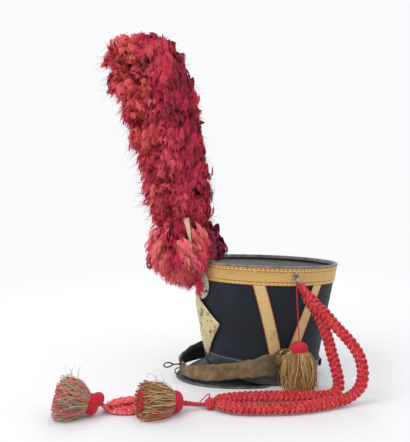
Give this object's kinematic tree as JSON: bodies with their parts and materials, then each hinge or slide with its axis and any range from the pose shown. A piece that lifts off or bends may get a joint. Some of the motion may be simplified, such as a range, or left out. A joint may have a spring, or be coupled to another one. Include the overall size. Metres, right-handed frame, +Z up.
{
  "type": "shako_hat",
  "caption": "Black felt shako with gold lace, a leather peak, chin strap, diamond front plate, red feather plume and braided red cords with tassels.",
  "frame": {"origin": "Middle of the oval head opening, on the plane of the base's lower edge, which rests on the surface.", "axes": "+Z is up, from the head opening to the plume's tip. -Y is the front, with the peak and plate. +X is the wearer's left."},
  "size_m": [0.34, 0.5051, 0.5839],
  "materials": {
    "felt": "matt black felt",
    "black_leather": "glossy, worn black leather",
    "brown_leather": "worn brown leather",
    "gold_lace": "woven gold lace",
    "gold_fringe": "old-gold thread fringe with a red head",
    "plate_brass": "pale tarnished brass",
    "dark_metal": "dark worn metal",
    "cockade_cloth": "off-white cloth",
    "feather": "red feathers",
    "quill": "beige quill",
    "red_cord": "red braided cord with ochre threads"
  },
  "bodies": {
    "root": {"crown": "felt", "top_leather": "black_leather", "top_rim": "black_leather", "base_band": "black_leather", "peak": "black_leather", "peak_binding": "black_leather", "strap_tie": "black_leather", "rear_button": "black_leather", "chin_strap_left": "brown_leather", "chin_strap_right": "brown_leather", "top_lace": "gold_lace", "chevron_left": "gold_lace", "chevron_right": "gold_lace", "tassel_side": "gold_fringe", "tassel_middle": "gold_fringe", "tassel_end": "gold_fringe", "front_plate": "plate_brass", "rosette_left": "dark_metal", "rosette_right": "dark_metal", "cord_hook": "dark_metal", "strap_hook": "dark_metal", "strap_ring": "dark_metal", "cockade": "cockade_cloth", "plume_ball": "feather", "plume_upper": "feather", "plume_stem": "quill", "lead_inner": "red_cord", "lead_outer": "red_cord", "braid_inner": "red_cord", "braid_outer": "red_cord", "cord_knot": "red_cord", "tail_middle": "red_cord", "tail_end": "red_cord", "raquette": "red_cord", "tassel_cord": "red_cord"}
  },
  "joints": []
}
